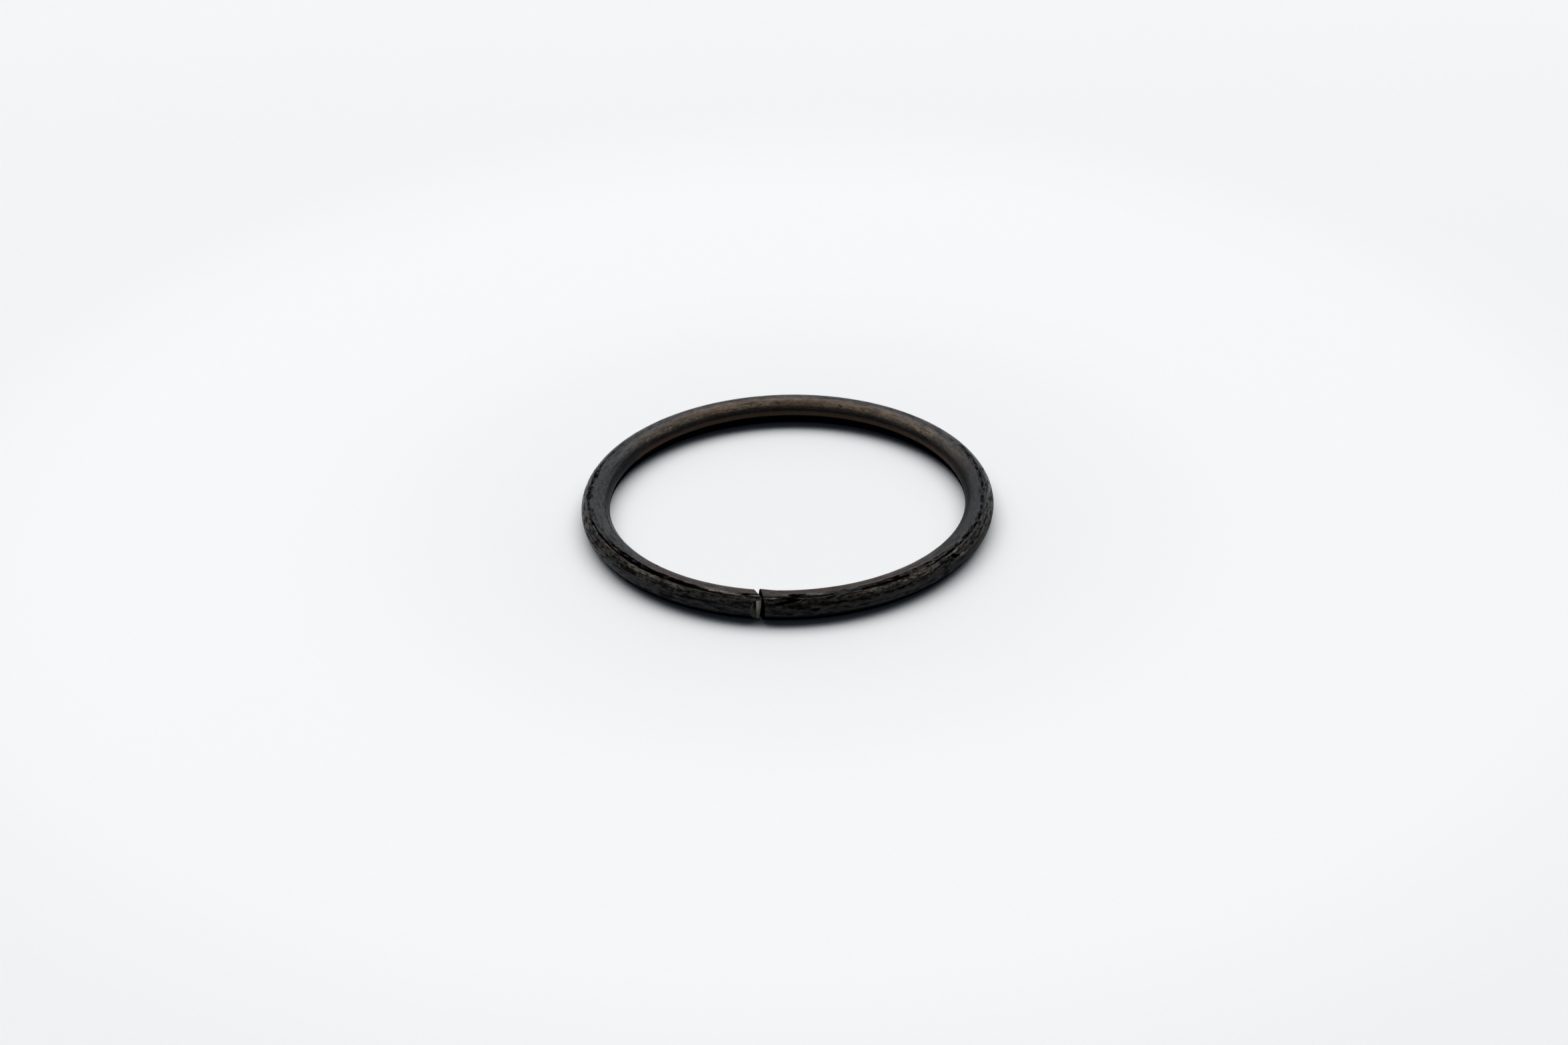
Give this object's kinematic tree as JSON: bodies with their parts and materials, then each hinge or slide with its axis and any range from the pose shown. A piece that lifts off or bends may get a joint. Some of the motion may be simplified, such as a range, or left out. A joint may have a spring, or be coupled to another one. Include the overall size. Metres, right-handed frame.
{
  "type": "circlip retaining ring",
  "caption": "Nearly closed retaining ring of blackened round spring wire, lying flat, with rough cut ends that almost meet and scuffed draw lines along its outside.",
  "frame": {"origin": "centre of the ring, half way up the wire", "axes": "+Z along the ring's axis, up as it lies flat; the gap between the ends faces -Y"},
  "size_m": [0.0291, 0.029, 0.002],
  "materials": {
    "wire_steel": "black oxidised spring steel, drawn, scuffed and pitted along its outside, bare metal at the cut end"
  },
  "bodies": {
    "root": {"wire_ring": "wire_steel"}
  },
  "joints": []
}
